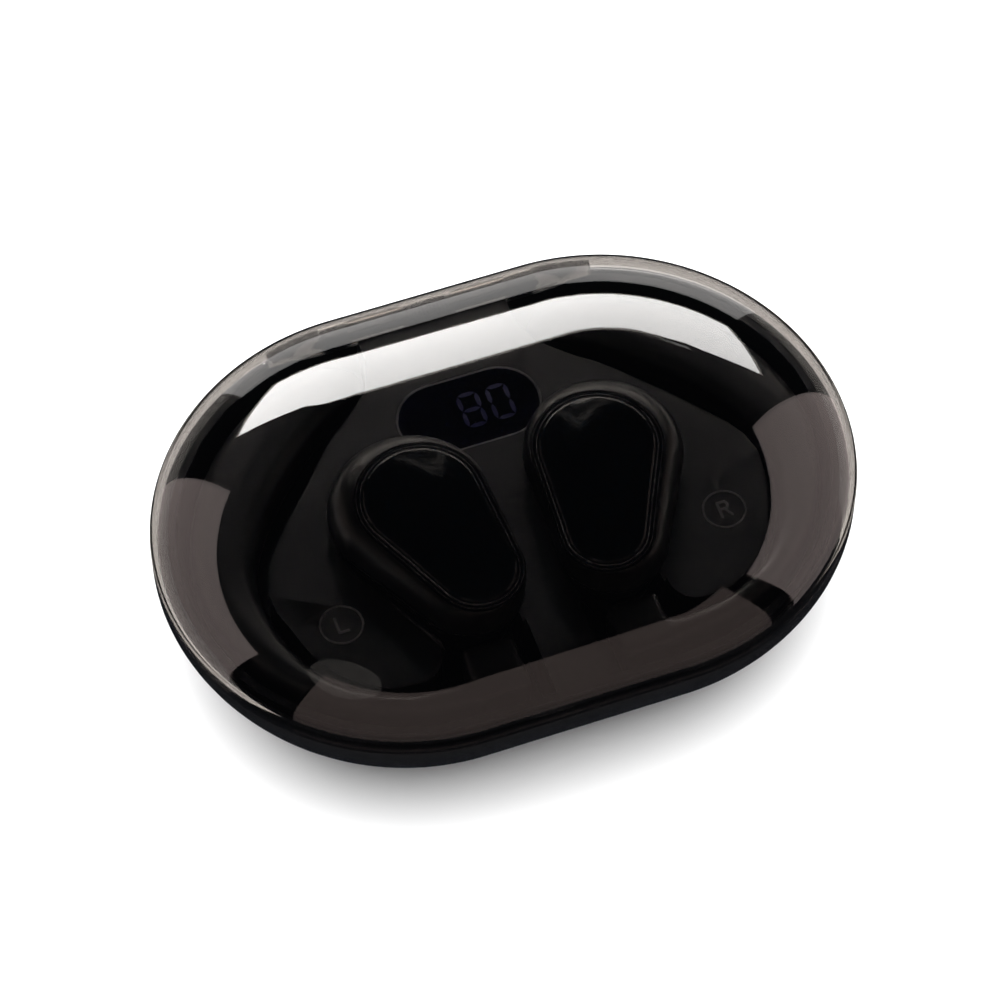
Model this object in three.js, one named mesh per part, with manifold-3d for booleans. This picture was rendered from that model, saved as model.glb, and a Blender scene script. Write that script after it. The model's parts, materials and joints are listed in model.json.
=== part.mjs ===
// Charging case for a pair of wireless earbuds with ear hooks: a pebble-shaped base, a clear domed
// lid hinged at the back, a tray that holds the earbuds, and the electronics under the tray.
// Millimetres. The origin is under the middle of the case, on the surface that it stands on.
// +X runs along the case to its right end, +Y to the hinge, +Z up. The lid is closed.
import * as THREE from "three";
import { mergeVertices } from "three/addons/utils/BufferGeometryUtils.js";
import Module from "manifold-3d";

// Outer case
const CASE_LENGTH = 86;
const CASE_WIDTH = 61;
const BASE_HEIGHT = 19;
const LID_HEIGHT = 12;
const FIT_GAP = 0.3; // between pieces that touch
const BASE_WALL = 1.8;
const BASE_BAND = 1.2; // straight band under the seam
const BASE_TUCK = 17; // how far the underside draws in from the outline
const BASE_ROUNDNESS = 1.5; // exponent of its superellipse
const LID_WALL = 1.5;
const LID_BAND = 2; // straight band above the seam
const LID_SHOULDER = 13.5; // how far the dome draws in before its flat top
const LID_ROUNDNESS = 1.7;

// Hinge
const AXIS_INSET = 1.3; // axis inside the outline
const AXIS_RISE = 1.2; // axis above the seam
const PIN_RADIUS = 0.7;
const PIN_CLEARANCE = 0.1;
const PIN_BORE_PAST = 4; // how far the pin's bore runs past the middle of a knuckle
const BARREL_RADIUS = 2;
const BARREL_REACH = 20.9; // half of the lid's barrel
const KNUCKLE_CENTRE = 12; // from the middle of the case
const KNUCKLE_LENGTH = 3.2;
const SPRING_LENGTH = 6;
const SPRING_WIRE = 0.4;
const SPRING_CLEARANCE = 0.15; // round the pin

// Tray
const PLATEAU_RISE = 1.2; // its top above the seam
const PLATE = 1.4;
const TRAY_WALL = 1;
const TRENCH_DEPTH = 8.2;
const BUD_CLEARANCE = 0.5;
const POCKET_DEPTH = 10.3;
const POCKET_DRAW_IN = 1.6; // at its floor
const STEM_GATE = [3.9, 13.7]; // sides of the gap that each hook's root passes
const GATE_BACK = -14;
const GATE_FRONT = -22;
const GATE_SILL = 0.6; // above the trench's floor
const GATE_LIP = 0.5; // between the gap and the plateau's sides
const PLATEAU_STEP = 1; // from the gap's back to the plateau's front
const PLATEAU_CORNER = { radius: 3.6, y: -17.4 };
// Points of the plateau's outer edge: [inside the end of the base's wall, y]
const PLATEAU_EDGE = [
  [20.2, -20.7], [16.6, -18.6], [13.2, -14.5], [11.6, -9.5], [10.4, -5], [11.4, -0.6],
  [14.6, 3.8], [18.8, 8.6], [23.2, 13.6], [27, 16.8], [30, 19.8],
];
const PLATEAU_POST = 23.5; // y where its back turns straight
const WINDOW_LENGTH = 17.6;
const WINDOW_WIDTH = 9.8;
const WINDOW_Y = 13;
const WINDOW_THICKNESS = 1.2;
const WINDOW_DROP = 0.1; // under the tray's top
const MARKER = [24, -10.4];
const MARKER_RADIUS = 2.4;
const MARKER_THICKNESS = 0.5;

// Earbud, given for the right one; heights are from the tray's top
const FACE = { wide: [11, -1.7], wideRadius: 7, narrow: [8, -13], narrowRadius: 4.7 };
const BODY = { wide: [12.3, -0.3], wideRadius: 9.6, narrow: [8.9, -12.6], narrowRadius: 6.5 };
const FACE_RISE = 8.1;
const FACE_THICKNESS = 2;
const FACE_EDGE = 0.35; // chamfer round its top
const RING_WIDTH = 0.65;
const RING_DROP = 0.4; // ring's top under the faceplate's top
const RING_CHAMFER = { width: 0.2, height: 0.25 };
const RING_ROOM = 0.2; // between the ring and its seat
const RIM_MARGIN = 1.3; // of the shoulder's top, outside the faceplate
const LEDGE = { reach: 1.2, thickness: 0.8, opening: 1.5 }; // under the faceplate
const SHOULDER_RISE = 6.8;
const WAIST_RISE = 3.8; // where the body is widest
const PARTING_DROP = 0.4; // from the waist to where the two shells meet
const BODY_SIDE = [[3.8, 1.1], [8, 2], [11.5, 3.2], [13.2, 5.2]]; // drop from the waist, draw-in
const SHELL_WALL = 1.1;
const NOZZLE_RADIUS = 2.6;
const NOZZLE_WALL = 0.7;
const NOZZLE_FLANGE = 0.5;
const NOZZLE_SIDES = 20;
const NOZZLE_MESH = { recess: 0.3, thickness: 0.5 };
const TIP_RADIUS = 6.2;
const TIP_LENGTH = 6;
const TIP_SLEEVE = 0.8; // wall of its sleeve
const TIP_RECESS = 0.8; // from its lower end to the nozzle's
const DRIVER = { radius: 4.6, height: 2.8, drop: 4.8 };
const CELL = { radius: 5.2, height: 4, drop: 0 };
const BUD_BOARD = { inset: 2.9, height: 0.8, rise: 1 };
const BUD_MAGNET = { at: [9.1, -11.6], radius: 1.6, height: 2, rise: 1.3 };
const CONTACT_START = 1.7; // first contact, past the wall of the ear tip's well
const CONTACT_SPACING = 2.7;
const CONTACT_RADIUS = 0.75;
const CONTACT_PROUD = 0.2; // below the inner shell

// Ear hook: angle round the end of the case, distance of its middle from the wall, half-width
const HOOK_ROUTE = [
  [94, 5, 2.2], [84, 5.1, 3.3], [66, 6, 4.4], [50, 6.6, 4.9], [34, 6.6, 4.9], [18, 6, 4.5],
  [2, 5, 3.9], [-12, 4.5, 3.5], [-26, 4.1, 2.9], [-40, 3.4, 2.3], [-56, 2.9, 1.75], [-74, 2.9, 1.75],
];
const HOOK_END = 2.9; // from the end's centre to the post in front of the hook's tip
const HOOK_TOP = 1.1; // above the tray's top
const HOOK_HEIGHT = 7.6;
const HOOK_ROOT = { fromWall: 3.2, half: 2.1, insideStem: 1 };
const HOOK_TIP = { share: 0.55, stations: 3 }; // size at its very end, and rings to grow a full size
const HOOK_SECTION = { sides: 12, softness: 0.75 };
const STEM = { sides: [5.7, 12.2], back: -18.8, frontGap: 1.5, height: 6.2 };

// Electronics
const PAD_THICKNESS = 0.6;
const PAD_MARGIN = 2; // inside the battery's edges, where the base's corner rises
const BATTERY = { length: 32, height: 4 };
const BATTERY_GAP = 1.1; // to the pieces round it
const BOARD = { length: 30, front: 10.8, backInset: 6.9, height: 0.8, drop: 9.4 };
const USB = { length: 7.2, width: 8.94, height: 3.2, wall: 0.3, mouthInset: 2.3 };
const TONGUE = { length: 4.6, width: 6.7, height: 0.7 };
const CHIP = { at: [-5.4, 15.5], size: [4, 4, 0.9] };
const INDUCTOR = { at: [5.4, 15.5], radius: 2, height: 2 };
const MODULE = { length: 16.2, width: 8.8, height: 2.6 };
const FLEX = { width: 5, thickness: 0.3, y: 11.6 };
const USB_ROOM_START = 20; // y where the room round the socket starts
const SCREW = { at: [7, 21], headRadius: 1.4, headHeight: 0.8, shankRadius: 0.7, length: 3.2 };
const SCREW_HOLE = { clearance: 0.1, room: 0.5 };
const BOSS_RADIUS = 1.9;
const PIN_BLOCK = { size: [3.4, 5, 3.2] };
const PLUNGER = { tip: 0.5, collar: 0.75, collarHeight: 0.8, collarDrop: 0.6, travel: 0.8, room: 0.2 };
const PLUNGER_CROWN = { height: 0.25, share: 0.6 }; // the rounded end of its tip
const CASE_MAGNET = { radius: 2, height: 2.2, gap: 0.5 };

// Worked out from the sizes above
const END_RADIUS = CASE_WIDTH / 2;
const END_CENTRE = CASE_LENGTH / 2 - END_RADIUS;
const SEAM = BASE_HEIGHT;
const TOP = BASE_HEIGHT + LID_HEIGHT;
const PLATEAU = SEAM + PLATEAU_RISE;
const TRENCH_FLOOR = PLATEAU - TRENCH_DEPTH;
const POCKET_FLOOR = PLATEAU - POCKET_DEPTH;
const TRAY_INSET = BASE_WALL + FIT_GAP;
const TRENCH_INSET = TRAY_INSET + TRAY_WALL;
const WAIST = PLATEAU + WAIST_RISE;
const BODY_BOTTOM = WAIST - BODY_SIDE.at(-1)[0];
const AXIS = { y: END_RADIUS - AXIS_INSET, z: SEAM + AXIS_RISE };
const TROUGH_RADIUS = BARREL_RADIUS + FIT_GAP;
const WELL_FLOOR = BASE_WALL + FIT_GAP + TRAY_WALL;
const TIP_BOTTOM = WELL_FLOOR + BUD_CLEARANCE;
const NOZZLE_END = TIP_BOTTOM + TIP_RECESS;
const PARTING = WAIST - PARTING_DROP;
const CELL_TOP = PLATEAU; // the earbud's cell and driver are stacked down from here
const BOARD_BOTTOM = SEAM - BOARD.drop;
const BOARD_TOP = BOARD_BOTTOM + BOARD.height;
const USB_Z = BOARD_TOP + FIT_GAP + USB.height / 2;
const USB_MOUTH = END_RADIUS - USB.mouthInset;
const WELL_OUTSIDE = TIP_RADIUS + BUD_CLEARANCE + TRAY_WALL;
const CONTACTS = [0, CONTACT_SPACING].map((step) => {
  const wide = new THREE.Vector2(...BODY.wide);
  const towards = new THREE.Vector2(...BODY.narrow).sub(wide).normalize();
  return wide.addScaledVector(towards, WELL_OUTSIDE + CONTACT_START + step).toArray();
});
const PIN_BLOCK_AT = [0, 1].map((axis) => (CONTACTS[0][axis] + CONTACTS[1][axis]) / 2);
const BEYOND = 60; // longer than anything that a cut passes through
const PAST = 2; // how far a cutting shape runs past a face
const MERGE_DISTANCE = 1e-4;

const ROUND_STEPS = 8; // steps in a quarter turn of the case's outline
const BUD_STEPS = 6;
const PLATEAU_STEPS = 4;
const EDGE_POINTS = 20;
const PLUNGER_SIDES = 12;
const SMALL_SIDES = 16;
const ROUND_SIDES = 24;

const wasm = await Module();
wasm.setup();

// ---- Solids from three.js geometry --------------------------------------------------------------

function solid(geometry) {
  const bare = geometry.clone();
  bare.deleteAttribute("normal");
  bare.deleteAttribute("uv");
  const merged = mergeVertices(bare, MERGE_DISTANCE);
  const vertProperties = merged.attributes.position.array;
  const triVerts = new Uint32Array(merged.index.array);
  return new wasm.Manifold(new wasm.Mesh({ numProp: 3, vertProperties, triVerts }));
}

function geometryOf(made) {
  const { vertProperties, triVerts } = made.getMesh();
  const geometry = new THREE.BufferGeometry();
  geometry.setAttribute("position", new THREE.Float32BufferAttribute(vertProperties, 3));
  geometry.setIndex(Array.from(triVerts));
  return geometry;
}

// A closed skin over a row of rings with equal counts, each anticlockwise about the row's direction.
function skin(rings) {
  const positions = [];
  const face = (...corners) => corners.forEach((p) => positions.push(p.x, p.y, p.z));
  const first = rings[0];
  const last = rings.at(-1);
  const middle = (ring) => new THREE.Box3().setFromPoints(ring).getCenter(new THREE.Vector3());
  first.forEach((_, i) => {
    const j = (i + 1) % first.length;
    face(middle(first), first[j], first[i]);
    face(middle(last), last[i], last[j]);
    for (let k = 1; k < rings.length; k += 1) {
      face(rings[k - 1][i], rings[k - 1][j], rings[k][j]);
      face(rings[k - 1][i], rings[k][j], rings[k][i]);
    }
  });
  return new THREE.BufferGeometry().setAttribute(
    "position",
    new THREE.Float32BufferAttribute(positions, 3),
  );
}

// levels: [height, outline shape] from the bottom up
function loft(levels, steps = BUD_STEPS) {
  return skin(
    levels.map(([z, shape]) => {
      const points = shape.getPoints(steps);
      if (points[0].distanceTo(points.at(-1)) < MERGE_DISTANCE) points.pop();
      return points.map((p) => new THREE.Vector3(p.x, p.y, z));
    }),
  );
}

function box([x0, x1], [y0, y1], [z0, z1]) {
  return new THREE.BoxGeometry(x1 - x0, y1 - y0, z1 - z0).translate(
    (x0 + x1) / 2,
    (y0 + y1) / 2,
    (z0 + z1) / 2,
  );
}

function disc([x, y], radius, [z0, z1], sides = SMALL_SIDES) {
  return new THREE.CylinderGeometry(radius, radius, z1 - z0, sides)
    .rotateX(Math.PI / 2)
    .translate(x, y, (z0 + z1) / 2);
}

// A rod along X on the hinge's axis
function rod(radius, [x0, x1], sides = ROUND_SIDES) {
  return new THREE.CylinderGeometry(radius, radius, x1 - x0, sides)
    .rotateZ(Math.PI / 2)
    .translate((x0 + x1) / 2, AXIS.y, AXIS.z);
}

function prism(shape, [z0, z1], curveSegments = BUD_STEPS) {
  const extruded = new THREE.ExtrudeGeometry(shape, { depth: z1 - z0, bevelEnabled: false, curveSegments });
  return extruded.translate(0, 0, z0);
}

// ---- Outlines ------------------------------------------------------------------------------------

function stadium(length, width, [x, y] = [0, 0]) {
  const radius = width / 2;
  const reach = length / 2 - radius;
  const shape = new THREE.Shape();
  shape.absarc(x + reach, y, radius, -Math.PI / 2, Math.PI / 2, false);
  shape.absarc(x - reach, y, radius, Math.PI / 2, 1.5 * Math.PI, false);
  return shape;
}

const caseOutline = (inset) => stadium(CASE_LENGTH - 2 * inset, CASE_WIDTH - 2 * inset);

// Two circles and their outer tangents, grown by a margin. side is 1 on the right, -1 on the left.
function pear({ wide, wideRadius, narrow, narrowRadius }, margin = 0, side = 1) {
  const along = new THREE.Vector2(side * (narrow[0] - wide[0]), narrow[1] - wide[1]);
  const heading = along.angle();
  const spread = Math.acos((wideRadius - narrowRadius) / along.length());
  const turn = 2 * Math.PI;
  const shape = new THREE.Shape();
  const wideEnd = [side * wide[0], wide[1], wideRadius + margin];
  const narrowEnd = [side * narrow[0], narrow[1], narrowRadius + margin];
  shape.absarc(...wideEnd, heading + spread, heading - spread + turn, false);
  shape.absarc(...narrowEnd, heading - spread, heading + spread, false);
  return shape;
}

function blendPears(a, b, t) {
  const mix = (p, q) => p + (q - p) * t;
  return {
    wide: [mix(a.wide[0], b.wide[0]), mix(a.wide[1], b.wide[1])],
    wideRadius: mix(a.wideRadius, b.wideRadius),
    narrow: [mix(a.narrow[0], b.narrow[0]), mix(a.narrow[1], b.narrow[1])],
    narrowRadius: mix(a.narrowRadius, b.narrowRadius),
  };
}

// The raised middle of the tray, between the two hook trenches, set in by a wall
function plateauOutline(inset = 0) {
  const front = -END_RADIUS - PAST;
  const post = STEM_GATE[0] - GATE_LIP - inset;
  const gate = STEM_GATE[1] + GATE_LIP + inset;
  const step = GATE_BACK - PLATEAU_STEP + inset;
  const round = PLATEAU_CORNER.radius - inset;
  const shape = new THREE.Shape();
  shape.moveTo(0, front);
  shape.lineTo(post, front);
  shape.lineTo(post, step);
  shape.lineTo(gate, step);
  shape.absarc(gate + round, PLATEAU_CORNER.y, round, Math.PI, 1.5 * Math.PI, false);
  const end = CASE_LENGTH / 2 - BASE_WALL;
  const curve = new THREE.SplineCurve(PLATEAU_EDGE.map(([x, y]) => new THREE.Vector2(end - x, y)));
  curve.getSpacedPoints(EDGE_POINTS).forEach((p, i, all) => {
    const tangent = curve.getTangentAt(i / (all.length - 1));
    shape.lineTo(p.x - tangent.y * inset, p.y + tangent.x * inset);
  });
  const back = END_CENTRE - HOOK_END - inset;
  shape.lineTo(back, PLATEAU_POST);
  shape.lineTo(back, END_RADIUS + PAST);
  const right = shape.getPoints(PLATEAU_STEPS);
  const left = right.map((p) => new THREE.Vector2(-p.x, p.y)).reverse();
  return new THREE.Shape([...right, ...left.slice(0, -1)]);
}

// ---- Bowls and domes -----------------------------------------------------------------------------

// Draw-in and travel along a superellipse corner, both from 0 to 1
function corner(t, roundness) {
  const angle = (t * Math.PI) / 2;
  return [1 - Math.cos(angle) ** (2 / roundness), Math.sin(angle) ** (2 / roundness)];
}

const CORNER_STEPS = [0, 1, 2, 3, 4, 5].map((step) => step / 5);

// The base's outer form, or one nested inside it by an inset, up to a given height
function bowl(inset, top) {
  const brim = SEAM - BASE_BAND;
  const levels = CORNER_STEPS.map((t) => {
    const [drawIn, drop] = corner(t, BASE_ROUNDNESS);
    return [brim - (brim - inset) * drop, caseOutline(inset + (BASE_TUCK - inset) * drawIn)];
  });
  return loft([...levels.reverse(), [top, caseOutline(inset)]], ROUND_STEPS);
}

// The lid's outer form, or one nested inside it, from a given height up
function dome(inset, bottom) {
  const brim = SEAM + LID_BAND;
  const levels = CORNER_STEPS.map((t) => {
    const [drawIn, rise] = corner(t, LID_ROUNDNESS);
    const draw = inset + (LID_SHOULDER - inset) * drawIn;
    return [brim + (TOP - inset - brim) * rise, caseOutline(draw)];
  });
  return loft([[bottom, caseOutline(inset)], ...levels], ROUND_STEPS);
}

// ---- Case ----------------------------------------------------------------------------------------

const knuckleSpan = (side, margin = 0) => {
  const reach = KNUCKLE_LENGTH / 2 + margin;
  return [side * KNUCKLE_CENTRE - reach, side * KNUCKLE_CENTRE + reach];
};
const hingeClip = () =>
  solid(prism(caseOutline(0), [AXIS.z - BARREL_RADIUS - PAST, AXIS.z + BARREL_RADIUS + PAST], ROUND_STEPS));
const pinBore = () => {
  const reach = KNUCKLE_CENTRE + PIN_BORE_PAST;
  return solid(rod(PIN_RADIUS + PIN_CLEARANCE, [-reach, reach]));
};

function lidShell() {
  const reach = [-BARREL_REACH, BARREL_REACH];
  const springGap = [-SPRING_LENGTH / 2 - FIT_GAP, SPRING_LENGTH / 2 + FIT_GAP];
  const barrel = solid(rod(BARREL_RADIUS, reach)).intersect(hingeClip());
  let lid = solid(dome(0, SEAM + FIT_GAP)).subtract(solid(dome(LID_WALL, SEAM - PAST)));
  lid = lid.add(barrel).subtract(solid(rod(TROUGH_RADIUS, springGap)));
  for (const side of [-1, 1]) {
    lid = lid.subtract(solid(rod(TROUGH_RADIUS, knuckleSpan(side, FIT_GAP))));
  }
  return geometryOf(lid.subtract(pinBore()));
}

// The trough that the lid's barrel turns in, left whole where the base's knuckles stand
function hingeTrough() {
  const inner = knuckleSpan(1)[0];
  const outer = knuckleSpan(1)[1];
  const end = BARREL_REACH + FIT_GAP;
  return solid(rod(TROUGH_RADIUS, [-inner, inner]))
    .add(solid(rod(TROUGH_RADIUS, [outer, end])))
    .add(solid(rod(TROUGH_RADIUS, [-end, -outer])));
}

function usbOpening(margin, [y0, y1]) {
  const shape = stadium(USB.width + 2 * margin, USB.height + 2 * margin);
  return prism(shape, [0, y1 - y0])
    .rotateX(Math.PI / 2)
    .translate(0, y1, USB_Z);
}

function baseShell() {
  const bosses = [-1, 1].map((side) => {
    const at = [side * SCREW.at[0], SCREW.at[1]];
    const post = disc(at, BOSS_RADIUS, [BASE_WALL / 2, BOARD_BOTTOM - FIT_GAP]);
    const depth = BOARD_TOP - SCREW.length - SCREW_HOLE.room;
    const hole = disc(at, SCREW.shankRadius + SCREW_HOLE.clearance, [depth, BOARD_TOP]);
    return solid(post).intersect(solid(bowl(0, SEAM))).subtract(solid(hole));
  });
  let base = solid(bowl(0, SEAM)).subtract(solid(bowl(BASE_WALL, SEAM + PAST))).subtract(hingeTrough());
  base = base.subtract(solid(usbOpening(FIT_GAP, [USB_ROOM_START, END_RADIUS + PAST])));
  for (const side of [-1, 1]) {
    base = base.add(solid(rod(BARREL_RADIUS, knuckleSpan(side))).intersect(hingeClip()));
  }
  return geometryOf(bosses.reduce((sum, boss) => sum.add(boss), base).subtract(pinBore()));
}

function hingePin() {
  const reach = KNUCKLE_CENTRE + KNUCKLE_LENGTH / 2 - FIT_GAP;
  return rod(PIN_RADIUS, [-reach, reach], SMALL_SIDES);
}

// A closed ring on the hinge's axis of the spring's outer size
function hingeSpring() {
  const inner = PIN_RADIUS + SPRING_CLEARANCE;
  const outer = inner + SPRING_WIRE;
  const end = SPRING_LENGTH / 2;
  const profile = [[inner, -end], [outer, -end], [outer, end], [inner, end], [inner, -end]];
  const points = profile.map(([r, y]) => new THREE.Vector2(r, y));
  return new THREE.LatheGeometry(points, SMALL_SIDES).rotateZ(Math.PI / 2).translate(0, AXIS.y, AXIS.z);
}

// ---- Tray ----------------------------------------------------------------------------------------

function pocket(side, margin, [z0, z1]) {
  const lower = pear(BODY, BUD_CLEARANCE - POCKET_DRAW_IN + margin, side);
  const upper = pear(BODY, BUD_CLEARANCE - BODY_SIDE[0][1] + margin, side);
  return solid(loft([[z0, lower], [PLATEAU, upper], ...(z1 > PLATEAU ? [[z1, upper]] : [])]));
}

const well = (side, margin, heights) =>
  solid(disc([side * BODY.wide[0], BODY.wide[1]], TIP_RADIUS + BUD_CLEARANCE + margin, heights, ROUND_SIDES));

function innerTray() {
  const everywhere = [-BEYOND, BEYOND];
  const above = PLATEAU + PAST;
  const below = (z) => solid(box(everywhere, everywhere, [-BEYOND, z]));
  const hollowTop = PLATEAU - PLATE;
  const hollow = solid(bowl(TRENCH_INSET + TRAY_WALL, hollowTop)).intersect(
    solid(prism(plateauOutline(TRAY_WALL), [0, hollowTop])),
  );
  const trenches = solid(bowl(TRENCH_INSET, above))
    .subtract(below(TRENCH_FLOOR))
    .subtract(solid(prism(plateauOutline(), [0, above + PAST])));
  let tray = solid(bowl(TRAY_INSET, PLATEAU)).subtract(below(TRENCH_FLOOR - TRAY_WALL));
  tray = tray.subtract(hollow).subtract(trenches);
  for (const side of [-1, 1]) {
    tray = tray.add(pocket(side, TRAY_WALL, [POCKET_FLOOR - TRAY_WALL, PLATEAU]));
    tray = tray.add(well(side, TRAY_WALL, [WELL_FLOOR - TRAY_WALL, POCKET_FLOOR - TRAY_WALL / 2]));
  }
  for (const side of [-1, 1]) {
    const gate = STEM_GATE.map((x) => side * x).sort((a, b) => a - b);
    const marker = [side * MARKER[0], MARKER[1]];
    tray = tray.subtract(pocket(side, 0, [POCKET_FLOOR, above]));
    tray = tray.subtract(well(side, 0, [WELL_FLOOR, above]));
    tray = tray.subtract(solid(box(gate, [GATE_FRONT, GATE_BACK], [TRENCH_FLOOR + GATE_SILL, above])));
    const recess = [PLATEAU - MARKER_THICKNESS - FIT_GAP, above];
    tray = tray.subtract(solid(disc(marker, MARKER_RADIUS + FIT_GAP, recess, ROUND_SIDES)));
    for (const [x, y] of CONTACTS) {
      tray = tray.subtract(solid(disc([side * x, y], PLUNGER.tip + FIT_GAP, [0, above])));
    }
    const screw = [side * SCREW.at[0], SCREW.at[1]];
    const screwRoom = [0, BOARD_TOP + SCREW.headHeight + 2 * FIT_GAP];
    tray = tray.subtract(solid(disc(screw, SCREW.headRadius + FIT_GAP, screwRoom)));
  }
  const windowHole = stadium(WINDOW_LENGTH + 2 * FIT_GAP, WINDOW_WIDTH + 2 * FIT_GAP, [0, WINDOW_Y]);
  const usbSides = USB.width / 2 + 2 * FIT_GAP;
  const usbTop = USB_Z + USB.height / 2 + 2 * FIT_GAP;
  const usbRoom = box([-usbSides, usbSides], [USB_ROOM_START, BEYOND], [-BEYOND, usbTop]);
  const barrelRoom = rod(TROUGH_RADIUS, [-BARREL_REACH - FIT_GAP, BARREL_REACH + FIT_GAP]);
  tray = tray.subtract(solid(prism(windowHole, [PLATEAU - PLATE - TRAY_WALL, above])));
  tray = tray.subtract(solid(usbRoom)).subtract(solid(barrelRoom));
  return geometryOf(tray);
}

const windowTop = PLATEAU - WINDOW_DROP;
const windowBottom = windowTop - WINDOW_THICKNESS;
const displayWindow = () =>
  prism(stadium(WINDOW_LENGTH, WINDOW_WIDTH, [0, WINDOW_Y]), [windowBottom, windowTop]);

const marker = (side) => {
  const heights = [PLATEAU - MARKER_THICKNESS, PLATEAU];
  return disc([side * MARKER[0], MARKER[1]], MARKER_RADIUS, heights, ROUND_SIDES);
};

// ---- Electronics ---------------------------------------------------------------------------------

function displayModule() {
  const top = windowBottom - 2 * FIT_GAP;
  return prism(stadium(MODULE.length, MODULE.width, [0, WINDOW_Y]), [top - MODULE.height, top]);
}

function displayFlex() {
  const top = windowBottom - 3 * FIT_GAP - MODULE.height;
  const sides = [-FLEX.width / 2, FLEX.width / 2];
  return box(sides, [FLEX.y, FLEX.y + FLEX.thickness], [BOARD_TOP + FIT_GAP, top]);
}

function mainBoard() {
  const wall = baseReach(BOARD.length / 2, BOARD_BOTTOM) - 2 * FIT_GAP;
  const across = [BOARD.front, Math.min(END_RADIUS - BOARD.backInset, wall)];
  let board = solid(box([-BOARD.length / 2, BOARD.length / 2], across, [BOARD_BOTTOM, BOARD_TOP]));
  for (const side of [-1, 1]) {
    const at = [side * SCREW.at[0], SCREW.at[1]];
    board = board.subtract(solid(disc(at, SCREW.shankRadius + FIT_GAP, [0, BEYOND])));
  }
  return geometryOf(board);
}

function boardScrew(side) {
  const at = [side * SCREW.at[0], SCREW.at[1]];
  const seat = BOARD_TOP + FIT_GAP;
  const crown = seat + SCREW.headHeight;
  const shank = solid(disc(at, SCREW.shankRadius, [BOARD_TOP - SCREW.length, crown]));
  return geometryOf(shank.add(solid(disc(at, SCREW.headRadius, [seat, crown]))));
}

// Half-width of the room in the base, at a distance from the middle and a height
function baseReach(x, z) {
  const brim = SEAM - BASE_BAND;
  const drop = (brim - z) / (brim - BASE_WALL);
  const drawIn = 1 - (1 - drop ** BASE_ROUNDNESS) ** (1 / BASE_ROUNDNESS);
  const radius = END_RADIUS - BASE_WALL - (BASE_TUCK - BASE_WALL) * drawIn;
  return Math.sqrt(radius ** 2 - Math.max(0, x - END_CENTRE) ** 2);
}

// The battery fills the room between the ear tips' wells and the base's wall or screw bosses
function batteryRoom() {
  const bottom = BOARD_BOTTOM - BATTERY_GAP - BATTERY.height;
  const front = BODY.wide[1] + WELL_OUTSIDE + BATTERY_GAP;
  const bosses = SCREW.at[1] - BOSS_RADIUS;
  const wall = baseReach(BATTERY.length / 2, bottom);
  const back = Math.min(wall - BATTERY_GAP, bosses - 2 * FIT_GAP);
  return { length: BATTERY.length, height: BATTERY.height, front, back, bottom };
}

function caseBattery() {
  const { length, height, front, back, bottom } = batteryRoom();
  return box([-length / 2, length / 2], [front, back], [bottom, bottom + height]);
}

function batteryPad() {
  const { length, front, back, bottom } = batteryRoom();
  const half = length / 2 - PAD_MARGIN;
  const top = bottom - FIT_GAP;
  return box([-half, half], [front, back - PAD_MARGIN], [top - PAD_THICKNESS, top]);
}

function usbShell() {
  const back = USB_MOUTH - USB.length;
  const outer = solid(usbOpening(0, [back, USB_MOUTH]));
  return geometryOf(outer.subtract(solid(usbOpening(-USB.wall, [back + USB.wall, USB_MOUTH + PAST]))));
}

function usbTongue() {
  const back = USB_MOUTH - USB.length + USB.wall + FIT_GAP;
  const halfHeight = TONGUE.height / 2;
  const sides = [-TONGUE.width / 2, TONGUE.width / 2];
  return box(sides, [back, back + TONGUE.length], [USB_Z - halfHeight, USB_Z + halfHeight]);
}

function chargeController() {
  const [x, y] = CHIP.at;
  const [length, width, height] = CHIP.size;
  const z0 = BOARD_TOP + FIT_GAP;
  return box([x - length / 2, x + length / 2], [y - width / 2, y + width / 2], [z0, z0 + height]);
}

const inductor = () =>
  disc(INDUCTOR.at, INDUCTOR.radius, [BOARD_TOP + FIT_GAP, BOARD_TOP + FIT_GAP + INDUCTOR.height]);

// ---- Charging pins (right side) ------------------------------------------------------------------

const blockTop = () => POCKET_FLOOR - TRAY_WALL - FIT_GAP;
const padBottom = () => BODY_BOTTOM - CONTACT_PROUD;
const plungerTop = () => padBottom() - FIT_GAP;
const collarTop = () => blockTop() - PLUNGER.collarDrop;
const collarBottom = () => collarTop() - PLUNGER.collarHeight;

function pinBlock() {
  const [x, y] = PIN_BLOCK_AT;
  const [length, width, height] = PIN_BLOCK.size;
  let block = solid(
    box([x - length / 2, x + length / 2], [y - width / 2, y + width / 2], [blockTop() - height, blockTop()]),
  );
  for (const at of CONTACTS) {
    const floor = collarBottom() - PLUNGER.travel - PLUNGER.room;
    const bore = disc(at, PLUNGER.collar + PIN_CLEARANCE, [floor, BEYOND], PLUNGER_SIDES);
    block = block.subtract(solid(bore));
  }
  return geometryOf(block);
}

// A sprung pin with a collar that runs in the block's bore
function plunger([x, y]) {
  const { tip, collar } = PLUNGER;
  const crown = plungerTop() - PLUNGER_CROWN.height;
  const neck = collarTop() + PLUNGER.room;
  const profile = [[0, collarBottom()], [collar, collarBottom()], [collar, collarTop()], [tip, neck],
    [tip, crown], [tip * PLUNGER_CROWN.share, plungerTop()], [0, plungerTop()]];
  const points = profile.map(([r, z]) => new THREE.Vector2(r, z));
  return new THREE.LatheGeometry(points, PLUNGER_SIDES).rotateX(Math.PI / 2).translate(x, y, 0);
}

function caseMagnet() {
  const y = PIN_BLOCK_AT[1] - PIN_BLOCK.size[1] / 2 - FIT_GAP - CASE_MAGNET.radius - CASE_MAGNET.gap;
  return disc([PIN_BLOCK_AT[0], y], CASE_MAGNET.radius, [blockTop() - CASE_MAGNET.height, blockTop()]);
}

// ---- Earbud (right one) --------------------------------------------------------------------------

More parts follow.
